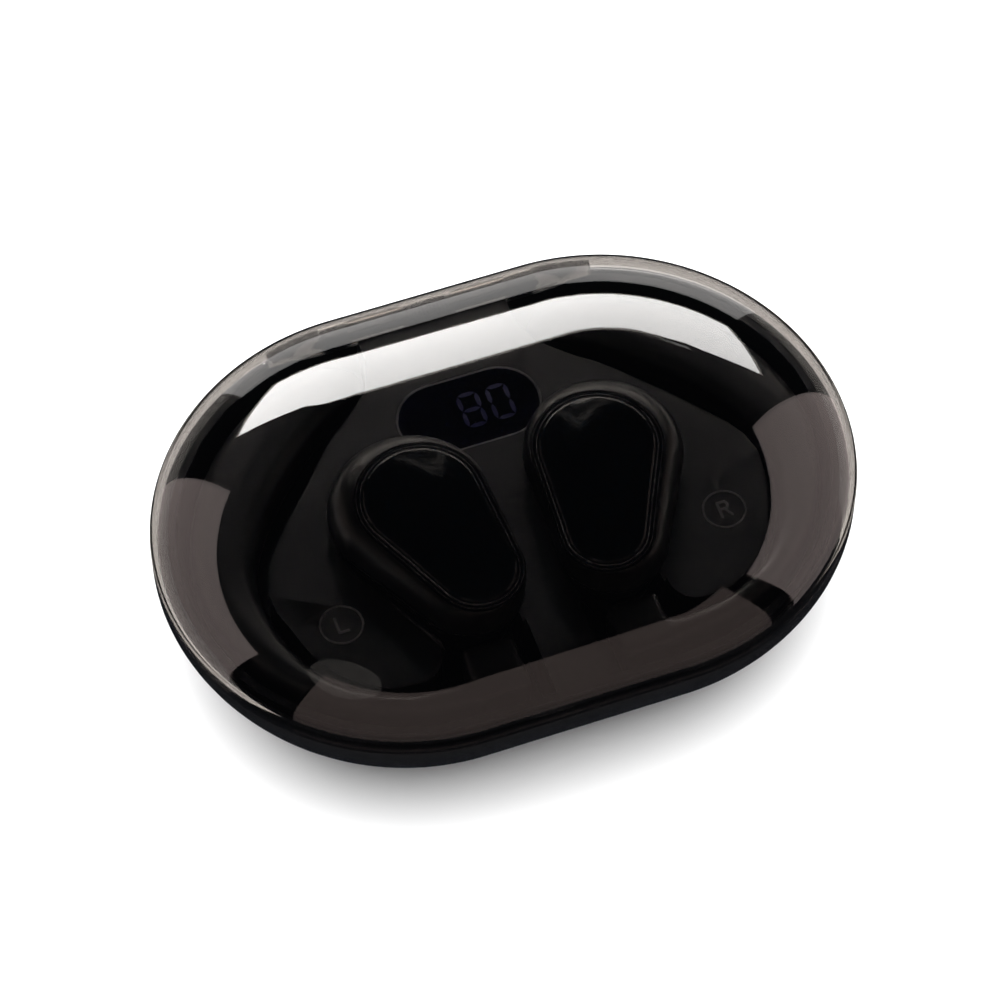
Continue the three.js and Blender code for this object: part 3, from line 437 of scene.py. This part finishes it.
def piece(name, bm, body, slot, *nodes, material=None, smooth=35):
    """Finishes a shape: metres, smooth shading up to an angle, a material, and its place on a body."""
    bmesh.ops.scale(bm, vec=(MM,) * 3, verts=bm.verts)
    mesh = bpy.data.meshes.new(name)
    bm.to_mesh(mesh)
    bm.free()
    mesh.shade_smooth()
    mesh.set_sharp_from_angle(angle=math.radians(smooth))
    mesh.materials.append(material or FINISHES[slot])
    thing = bpy.data.objects.new(name, mesh)
    scene.collection.objects.link(thing)
    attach(thing, body)
    if nodes:
        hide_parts(*nodes)
    print(f"{name}: {len(mesh.polygons)} faces")
    return thing


def corner(t, roundness):
    """Draw-in and travel along a superellipse corner, both from 0 to 1."""
    angle = t * math.pi / 2
    return 1 - math.cos(angle) ** (2 / roundness), math.sin(angle) ** (2 / roundness)


def steps(count):
    return [k / count for k in range(count + 1)]


# %% [markdown]
# The lid is one clear moulding with a thin wall, which leaves the earbuds room to lift under it. From the
# seam it stands straight for a short band, then curves over a broad shoulder to a flat top. Its section
# runs down the outside, round the lip and up the inside, so one loft makes the whole wall. The hinge's
# barrel is joined to it at the back, with notches under it for the base's two knuckles and a bore for the
# pin and the spring.

# %% Lid
LID_WALL = 0.8
LID_BAND = 2.0
LID_SHOULDER = 17.8
LID_ROUNDNESS = 1.55
DOME_STEPS = 36
LIP_ROUND = 0.25
ROUND_MIDDLE = 0.3
AXIS = (29.2, 20.2)
BARREL_RADIUS = 2.0
BARREL_REACH = 20.9
TROUGH_RADIUS = BARREL_RADIUS + FIT_GAP
KNUCKLE_CENTRE = 12.0
KNUCKLE_HALF = 1.6
DRUM_RADIUS = 1.05
DRUM_GAP = 0.1
NOTCH_DROP = 3
NOTCH_OVERLAP = 0.05
NOTCH_FRONT_DROP = 0.2
NOTCH_BACK_RISE = 0.25
SPRING_HALF = 3.0
PIN_RADIUS = 0.7
PIN_ROOM = 0.1
BORE_REACH = 14
SKIN = 0.02  # what is added to the dome stays this far inside it


def block(x, y, z):
    """A box between pairs of coordinates."""
    bm = bmesh.new()
    bmesh.ops.create_cube(bm, size=1.0)
    bmesh.ops.scale(bm, vec=(x[1] - x[0], y[1] - y[0], z[1] - z[0]), verts=bm.verts)
    bmesh.ops.translate(bm, vec=((x[0] + x[1]) / 2, (y[0] + y[1]) / 2, (z[0] + z[1]) / 2), verts=bm.verts)
    return bm


def knuckle_span(side, margin=0.0):
    return side * KNUCKLE_CENTRE - KNUCKLE_HALF - margin, side * KNUCKLE_CENTRE + KNUCKLE_HALF + margin


def dome_levels(inset):
    """(plan, z) from the flat top down to the straight band."""
    brim = SEAM + LID_BAND
    levels = []
    for t in reversed(steps(DOME_STEPS)):
        draw, rise = corner(t, LID_ROUNDNESS)
        levels.append((case_plan(inset + (LID_SHOULDER - inset) * draw), brim + (TOP - inset - brim) * rise))
    return levels


def make_lid():
    lip = SEAM + FIT_GAP
    nearly = LIP_ROUND * ROUND_MIDDLE
    outside = dome_levels(0) + [(case_plan(0), lip + LIP_ROUND), (case_plan(nearly), lip + nearly),
                                (case_plan(LIP_ROUND), lip)]
    inside = [(case_plan(LID_WALL - LIP_ROUND), lip), (case_plan(LID_WALL - nearly), lip + nearly),
              (case_plan(LID_WALL), lip + LIP_ROUND)] + list(reversed(dome_levels(LID_WALL)))
    lid = loft(outside + inside)
    within = loft(dome_levels(SKIN) + [(case_plan(SKIN), SEAM - 2 * BARREL_RADIUS)])
    barrel = cut(rod(BARREL_RADIUS, (-BARREL_REACH, BARREL_REACH), AXIS), within, "INTERSECT")
    lid = cut(lid, barrel, "UNION")
    lid = cut(lid, rod(DRUM_RADIUS + DRUM_GAP, (-SPRING_HALF - FIT_GAP, SPRING_HALF + FIT_GAP), AXIS))
    for side in (-1, 1):
        span = knuckle_span(side, FIT_GAP)
        lid = cut(lid, rod(DRUM_RADIUS + DRUM_GAP, span, AXIS))
        low = AXIS[1] - NOTCH_DROP
        lid = cut(lid, block(span, (AXIS[0] - DRUM_RADIUS, AXIS[0] + NOTCH_OVERLAP),
                             (low, AXIS[1] - NOTCH_FRONT_DROP)))
        lid = cut(lid, block(span, (AXIS[0], AXIS[0] + NOTCH_DROP), (low, AXIS[1] + NOTCH_BACK_RISE)))
    return cut(lid, rod(PIN_RADIUS + PIN_ROOM, (-BORE_REACH, BORE_REACH), AXIS))


piece("clear_lid", make_lid(), "lid", "lid_plastic", "lid_shell")

# %% [markdown]
# The base is a shallow bowl in polished black. It curves in to a flat foot, and its back has the socket's
# slot and the trough that the lid's barrel turns in.

# %% Base
BASE_WALL = 1.8
BASE_BAND = 1.2
BASE_TUCK = 17.0
BASE_ROUNDNESS = 1.5
BASE_EDGE = 0.25
BASE_EDGE_MIDDLE = 0.08
BOWL_STEPS = 28
WEB_DROP = 3.4
PIN_GRIP = 0.05
KNUCKLE_BORE_REACH = 16
SLOT_REACH = 8
USB_LOW, USB_HIGH = box_mm("usb_shell")
USB_Z = (USB_LOW.z + USB_HIGH.z) / 2


def bowl_levels(inset):
    """(plan, z) from the straight band down to the flat underside."""
    brim = SEAM - BASE_BAND
    levels = []
    for t in steps(BOWL_STEPS):
        draw, drop = corner(t, BASE_ROUNDNESS)
        levels.append((case_plan(inset + (BASE_TUCK - inset) * draw), brim - (brim - inset) * drop))
    return levels


def usb_slot():
    """A tool with round ends, as wide and high as the socket's shell with a little room."""
    half = (USB_HIGH.z - USB_LOW.z) / 2 + FIT_GAP
    middle = (USB_HIGH.x - USB_LOW.x) / 2 + FIT_GAP - half
    plan = pegs((-middle, 0), half, (middle, 0), half)
    bm = loft([(plan, -SLOT_REACH), (plan, SLOT_REACH)], segments=48)
    bmesh.ops.rotate(bm, verts=bm.verts, cent=(0, 0, 0), matrix=Matrix.Rotation(math.pi / 2, 3, "X"))
    bmesh.ops.translate(bm, verts=bm.verts, vec=(0, END_RADIUS, USB_Z))
    return bm


def make_base():
    edge = [(case_plan(0), SEAM - BASE_EDGE), (case_plan(BASE_EDGE_MIDDLE), SEAM - BASE_EDGE_MIDDLE),
            (case_plan(BASE_EDGE), SEAM)]
    outside = list(reversed(bowl_levels(0))) + edge
    inside = [(case_plan(BASE_WALL), SEAM)] + bowl_levels(BASE_WALL)
    base = loft(outside + inside)
    base = cut(base, usb_slot())
    base = cut(base, rod(TROUGH_RADIUS, (-BARREL_REACH - FIT_GAP, BARREL_REACH + FIT_GAP), AXIS))
    for side in (-1, 1):
        span = knuckle_span(side)
        web = block(span, (AXIS[0] - DRUM_RADIUS + DRUM_GAP, AXIS[0] - DRUM_GAP),
                    (AXIS[1] - WEB_DROP, AXIS[1]))
        base = cut(cut(base, rod(DRUM_RADIUS, span, AXIS), "UNION"), web, "UNION")
    return cut(base, rod(PIN_RADIUS + PIN_GRIP, (-KNUCKLE_BORE_REACH, KNUCKLE_BORE_REACH), AXIS))


piece("black_base", make_base(), "case", "base_plastic", "base_shell")

# %% [markdown]
# The tray's shape is right in CAD, but its curves have flats. A merged copy with its flat areas joined and
# its shading smoothed up to an angle gives the moulded look.

# %% Tray
MERGE_DISTANCE = 2e-6  # metres
FLAT_ANGLE = math.radians(1)


def merged_copy(node):
    """A CAD node's mesh in millimetres, with its loose triangles joined and its flat areas made whole."""
    bm = bmesh.new()
    bm.from_mesh(frame["nodes"][node].data)
    bmesh.ops.remove_doubles(bm, verts=bm.verts, dist=MERGE_DISTANCE)
    bmesh.ops.scale(bm, vec=(1 / MM,) * 3, verts=bm.verts)
    bmesh.ops.dissolve_limit(bm, angle_limit=FLAT_ANGLE, verts=bm.verts, edges=bm.edges)
    return bm


piece("moulded_tray", merged_copy("inner_tray"), "case", "tray_plastic", "inner_tray")

# %% [markdown]
# Each earbud is a stack of round-cornered pear shapes: a polished touch face, a thin ring round it with a
# fine lip on each side, and the satin shell that slopes away to the waist. The two lips are coloured
# lighter than the black round them, as painted highlights for the bright lines along the ring's edges.

# %% Earbuds
# A pear is the middle and radius of its wide end, then of its narrow end, in millimetres.
FACE = (11.0, -1.7, 7.0, 8.0, -13.0, 4.7)
BODY = (12.3, -0.3, 9.6, 8.9, -12.6, 6.5)
BUD_SEGMENTS = 128
FACE_TOP = PLATEAU + 8.1
FACE_THICKNESS = 2.0
FACE_ROUND = 0.5
FACE_STEPS = 6
RING_GAP = 0.12
RING_WIDTH = 0.65
RING_TOP = FACE_TOP - 0.32
RING_BOTTOM = FACE_TOP - 1.6
LIP_TOP = FACE_TOP - 0.2
LIP_WIDTH = 0.15
LIP_OUTSET = 0.14
OUTER_LIP_WIDTH = 0.1
SHELL_OUTSET = RING_GAP + RING_WIDTH + 0.15
SHELL_TOP = FACE_TOP - 0.6
SHELL_WALL_TOP = FACE_TOP - 0.75
SHELL_FLOOR = FACE_TOP - 1.7
SHELL_STEPS = 14
SHELL_ROUNDNESS = 1.9
SHELL_REACH = 0.97
WAIST = PLATEAU + 3.8
WAIST_LOW = WAIST - 0.4
WAIST_INSET = 1.1
WAIST_RISE = 1.5


def pear(sizes, inset=0.0):
    x, y, radius, x2, y2, radius2 = sizes
    return pegs((x2, y2), radius2 - inset, (x, y), radius - inset)


def mix_pears(a, b, t):
    return [(p + (q - p) * t, r + (s - r) * t) for (p, r), (q, s) in zip(a, b)]


def mirrored(bm, side):
    """The left earbud's pieces are the right one's, mirrored through the middle of the case."""
    if side < 0:
        bmesh.ops.scale(bm, vec=(-1, 1, 1), verts=bm.verts)
        bmesh.ops.reverse_faces(bm, faces=bm.faces)
    return bm


def make_face():
    levels = [(pear(FACE), FACE_TOP - FACE_THICKNESS), (pear(FACE), FACE_TOP - FACE_ROUND)]
    for t in steps(FACE_STEPS)[1:]:
        draw, rise = corner(t, 2)
        levels.append((pear(FACE, draw * FACE_ROUND), FACE_TOP - FACE_ROUND + FACE_ROUND * rise))
    return loft(levels, segments=BUD_SEGMENTS)


def band(inner, outer, section):
    """A closed ring between two pears; its section is points of (share of the way across, z)."""
    return loft([(mix_pears(inner, outer, across), z) for across, z in section], segments=BUD_SEGMENTS,
                closed=False)


def make_ring():
    """A band with a fine rounded lip on each side of a shallow groove."""
    inner, outer = pear(FACE, -RING_GAP), pear(FACE, -RING_GAP - RING_WIDTH)
    lips = [(0, 0.1), (0.06, 0.02), (0.14, 0), (0.22, 0.03), (0.32, 0.14), (0.68, 0.18), (0.78, 0.07),
            (0.86, 0.04), (0.94, 0.06), (1, 0.16)]
    section = [(0, RING_BOTTOM)] + [(across, RING_TOP - drop) for across, drop in lips]
    section += [(1, RING_BOTTOM), (0, RING_BOTTOM)]
    return band(inner, outer, section)


def make_lip(outset, width):
    """A hair-thin rounded line that lies on the ring, all the way round."""
    inner, outer = pear(FACE, -outset), pear(FACE, -outset - width)
    drops = [(0, 0.3), (0, 0.05), (0.3, 0), (0.7, 0), (1, 0.05), (1, 0.3), (0, 0.3)]
    return band(inner, outer, [(across, LIP_TOP - drop) for across, drop in drops])


def make_outer_shell():
    """The sloping shell round the ring, from its rim down to the waist and back up its inside."""
    rim, waist = pear(FACE, -SHELL_OUTSET), pear(BODY)
    levels = [(rim, SHELL_FLOOR), (rim, SHELL_WALL_TOP)]
    for t in reversed(steps(SHELL_STEPS)):
        draw, rise = corner(t, SHELL_ROUNDNESS)
        levels.append((mix_pears(waist, rim, draw * SHELL_REACH), WAIST_LOW + (SHELL_TOP - WAIST_LOW) * rise))
    inside = pear(BODY, WAIST_INSET)
    levels += [(inside, WAIST_LOW), (inside, WAIST + WAIST_RISE), (rim, SHELL_FLOOR)]
    return loft(levels, segments=BUD_SEGMENTS, closed=False)


BUD_PIECES = [
    ("touch_face", make_face(), "bud_gloss", ["faceplate"], None),
    ("thin_ring", make_ring(), "bud_gloss", ["trim_ring"], None),
    # Both lips take lighter finishes, which are painted highlights along the ring's edges.
    ("inner_lip", make_lip(LIP_OUTSET, LIP_WIDTH), "bud_gloss", [], LIP_SATIN_WITH_PAINTED_HIGHLIGHT),
    ("outer_lip", make_lip(RING_WIDTH, OUTER_LIP_WIDTH), "bud_gloss", [], OUTER_LIP_PAINTED_HIGHLIGHT),
    ("outer_half", make_outer_shell(), "bud_plastic", ["outer_shell"], None),
]
for name, side in (("left", -1), ("right", 1)):
    for part, made, slot, replaced, material in BUD_PIECES:
        shape = mirrored(made.copy(), side)
        bmesh.ops.remove_doubles(shape, verts=shape.verts, dist=1e-5)
        bmesh.ops.recalc_face_normals(shape, faces=shape.faces)
        piece(f"{name}_{part}", shape, f"{name}_bud", slot, *[f"{name}_{node}" for node in replaced],
              material=material)

# %% [markdown]
# The ear hooks are soft silicone with no edges at all. A copy of each CAD hook is remeshed to small even
# faces and smoothed, which melts its corners the way a moulded soft part looks.

# %% Ear hooks
HOOK_VOXEL = 0.35
HOOK_PASSES = 14


def melted(node, voxel, passes):
    """A remeshed and smoothed copy of a CAD node, in millimetres."""
    thing = raw_object(merged_copy(node), "soft")
    remesh = thing.modifiers.new("even faces", "REMESH")
    remesh.mode = "VOXEL"
    remesh.voxel_size = voxel
    smooth = thing.modifiers.new("melt", "SMOOTH")
    smooth.factor = 0.5
    smooth.iterations = passes
    mesh = bpy.data.meshes.new_from_object(thing.evaluated_get(bpy.context.evaluated_depsgraph_get()))
    bpy.data.objects.remove(thing)
    bm = bmesh.new()
    bm.from_mesh(mesh)
    return bm


for name in ("left", "right"):
    hook = f"{name}_ear_hook"
    piece(f"{name}_soft_hook", melted(hook, HOOK_VOXEL, HOOK_PASSES), f"{name}_bud", "soft_rubber", hook,
          smooth=180)

# %% [markdown]
# The battery display is a dark glass let into the tray. A hair-thin frame shows round it, coloured light
# grey as a painted highlight along the glass's edge. Two seven-segment figures glow very faintly, as they
# do just before the display goes dark. Each segment is a flat bar with pointed ends, which is a two-step
# grid with its ends pulled in.

# %% Display
WINDOW_LOW, WINDOW_HIGH = box_mm("display_window")
WINDOW_MIDDLE = (WINDOW_LOW + WINDOW_HIGH) / 2
WINDOW_HALF = (WINDOW_HIGH - WINDOW_LOW) / 2
FIGURE = {"width": 2.3, "height": 4.6, "bar": 0.55, "thickness": 0.03, "gap": 0.15}
TENS_AT = 0.4
UNITS_AT = 4.1
SEGMENTS = {"top": (0, 1, 0), "middle": (0, 0, 0), "bottom": (0, -1, 0), "upper_left": (-1, 0.5, 1),
            "upper_right": (1, 0.5, 1), "lower_left": (-1, -0.5, 1), "lower_right": (1, -0.5, 1)}
EIGHT = list(SEGMENTS)
ZERO = [name for name in SEGMENTS if name != "middle"]


def window_plan(outset):
    reach, radius = WINDOW_HALF.x - WINDOW_HALF.y, WINDOW_HALF.y + outset
    return pegs((-reach, WINDOW_MIDDLE.y), radius, (reach, WINDOW_MIDDLE.y), radius)


def make_window_frame():
    """A thin rounded band round the glass; its section is points of (outset, height over the glass)."""
    section = [(0.02, -0.4), (0.02, 0.02), (0.08, 0.05), (0.2, 0.05), (0.26, 0.02), (0.26, -0.4),
               (0.02, -0.4)]
    return loft([(window_plan(outset), WINDOW_HIGH.z + rise) for outset, rise in section], segments=96,
                closed=False)


def figure(centre_x, lit):
    """One seven-segment figure, lying on the glass."""
    whole = bmesh.new()
    length = FIGURE["width"] - FIGURE["gap"]
    for name in lit:
        across, up, upright = SEGMENTS[name]
        bar = bmesh.new()
        bmesh.ops.create_grid(bar, x_segments=4, y_segments=2, size=0.5)
        bmesh.ops.scale(bar, vec=(length, FIGURE["bar"], 1), verts=bar.verts)
        for v in bar.verts:
            if abs(v.co.x) > length * 0.45:
                v.co.y *= 0.05
        if upright:
            quarter_turn = Matrix.Rotation(math.pi / 2, 3, "Z")
            bmesh.ops.rotate(bar, verts=bar.verts, cent=(0, 0, 0), matrix=quarter_turn)
        bmesh.ops.translate(bar, verts=bar.verts, vec=(centre_x + across * FIGURE["width"] / 2,
                                                       WINDOW_MIDDLE.y + up * FIGURE["height"] / 2,
                                                       WINDOW_HIGH.z + FIGURE["thickness"]))
        made = bmesh.ops.extrude_face_region(bar, geom=bar.faces[:])["geom"]
        lower = [v for v in made if isinstance(v, bmesh.types.BMVert)]
        bmesh.ops.translate(bar, verts=lower, vec=(0, 0, -FIGURE["thickness"] * 0.8))
        bmesh.ops.recalc_face_normals(bar, faces=bar.faces)
        mesh = bpy.data.meshes.new("bar")
        bar.to_mesh(mesh)
        bar.free()
        whole.from_mesh(mesh)
    return whole


frame_shape = make_window_frame()
bmesh.ops.remove_doubles(frame_shape, verts=frame_shape.verts, dist=1e-5)
bmesh.ops.recalc_face_normals(frame_shape, faces=frame_shape.faces)
# The frame's light grey is a painted highlight along the display glass's edge.
piece("display_outline", frame_shape, "case", "tray_plastic", material=PRINT_AND_PAINTED_HIGHLIGHT_GREY)
GLOW = faint_glow()
for name, middle, lit in (("tens", TENS_AT, EIGHT), ("units", UNITS_AT, ZERO)):
    piece(f"display_{name}", figure(middle, lit), "case", "display_glass", material=GLOW)

# %% [markdown]
# A small round mark on each side of the tray says which earbud goes where. Each has a fine raised rim and
# a plain letter made of bars. The letter is printed light grey; the rim's same light grey is a painted
# highlight for the bright line round the mark.

# %% Side marks
MARK_LOW, MARK_HIGH = box_mm("marker_right")
MARK_MIDDLE = (MARK_LOW + MARK_HIGH) / 2
MARK_RADIUS = (MARK_HIGH.x - MARK_LOW.x) / 2
STROKE = 0.34
STROKE_DEPTH = 0.1
STROKE_RISE = 0.06
STROKE_ROUND = 0.05
STROKE_TOP = 0.09
MARK_RIM_WIRE = 0.11
MARK_RIM_GAP = 0.13
MARK_RIM_SINK = 0.02
STROKES = {"left": [((-0.55, -1), (-0.55, 1)), ((-0.55, -1), (0.6, -1))],
           "right": [((-0.6, -1), (-0.6, 1)), ((-0.6, 1), (0.35, 1)), ((0.35, 1), (0.6, 0.55)),
                     ((0.6, 0.55), (0.35, 0.05)), ((0.35, 0.05), (-0.6, 0.05)), ((0, 0.05), (0.65, -1))]}


def stroke(start, end, at, z):
    """A bar with round ends between two points round a middle."""
    first = (at[0] + start[0], at[1] + start[1])
    second = (at[0] + end[0], at[1] + end[1])
    plan = pegs(first, STROKE / 2, second, STROKE / 2)
    top_plan = pegs(first, STROKE / 2 - STROKE_ROUND, second, STROKE / 2 - STROKE_ROUND)
    return loft([(plan, z - STROKE_DEPTH), (plan, z + STROKE_RISE), (top_plan, z + STROKE_TOP)], segments=16)


for name, side in (("left", -1), ("right", 1)):
    at = (side * MARK_MIDDLE.x, MARK_MIDDLE.y)
    letter = bmesh.new()
    for start, end in STROKES[name]:
        mesh = bpy.data.meshes.new("stroke")
        bar = stroke(start, end, at, MARK_HIGH.z)
        bar.to_mesh(mesh)
        bar.free()
        letter.from_mesh(mesh)
    piece(f"{name}_mark_letter", letter, "case", "tray_plastic", material=PRINT_AND_PAINTED_HIGHLIGHT_GREY)
    rim = bmesh.new()
    wire_at = (at[0] + MARK_RADIUS + MARK_RIM_GAP, at[1], MARK_HIGH.z - MARK_RIM_SINK)
    bmesh.ops.create_circle(rim, segments=12, radius=MARK_RIM_WIRE,
                            matrix=Matrix.Translation(wire_at) @ Matrix.Rotation(math.pi / 2, 4, "X"))
    bmesh.ops.spin(rim, geom=rim.verts[:] + rim.edges[:], cent=(*at, MARK_HIGH.z), axis=(0, 0, 1),
                   angle=2 * math.pi, steps=64, use_merge=True)
    bmesh.ops.recalc_face_normals(rim, faces=rim.faces)
    # The rim's light grey is a painted highlight for the bright line round the mark.
    piece(f"{name}_mark_rim", rim, "case", "tray_plastic", material=PRINT_AND_PAINTED_HIGHLIGHT_GREY, smooth=180)

# %% [markdown]
# The spring that lifts the lid is a short coil round the hinge's pin. Its wire is a small circle carried
# round the axis in steps, a little further along at each one.

# %% Hinge spring
WIRE = 0.14
COIL = PIN_RADIUS + 0.22
COIL_END_GAP = 0.3
TURNS = 11
TURN_STEPS = 20


def make_spring():
    bm = bmesh.new()
    ring = bmesh.ops.create_circle(bm, segments=8, radius=WIRE, cap_ends=True)["verts"]
    bmesh.ops.translate(bm, verts=ring, vec=(-SPRING_HALF + COIL_END_GAP, AXIS[0] + COIL, AXIS[1]))
    bmesh.ops.spin(bm, geom=bm.verts[:] + bm.edges[:] + bm.faces[:], cent=(0, *AXIS), axis=(1, 0, 0),
                   dvec=(2 * (SPRING_HALF - COIL_END_GAP) / (TURNS * TURN_STEPS), 0, 0),
                   angle=2 * math.pi * TURNS, steps=TURNS * TURN_STEPS, use_merge=False)
    bmesh.ops.remove_doubles(bm, verts=bm.verts, dist=1e-4)
    bmesh.ops.recalc_face_normals(bm, faces=bm.faces)
    return bm


piece("coil_spring", make_spring(), "case", "steel", "hinge_spring", material=BLACK_STEEL, smooth=180)

# %% [markdown]
# The remaining pieces sit inside the case or the earbuds. Their CAD shapes are right, so they only take
# their finish.

# %% Finishes for the CAD pieces that stay
slot_of = {row["node"]: row["material_slot"] for row in frame["record"]["subparts"]}
kept = 0
for node, thing in frame["nodes"].items():
    if thing.hide_render:
        continue
    thing.data.materials.clear()
    thing.data.materials.append(BLACK_STEEL if node == "hinge_pin" else FINISHES[slot_of[node]])
    kept += 1
print("CAD pieces kept:", kept)
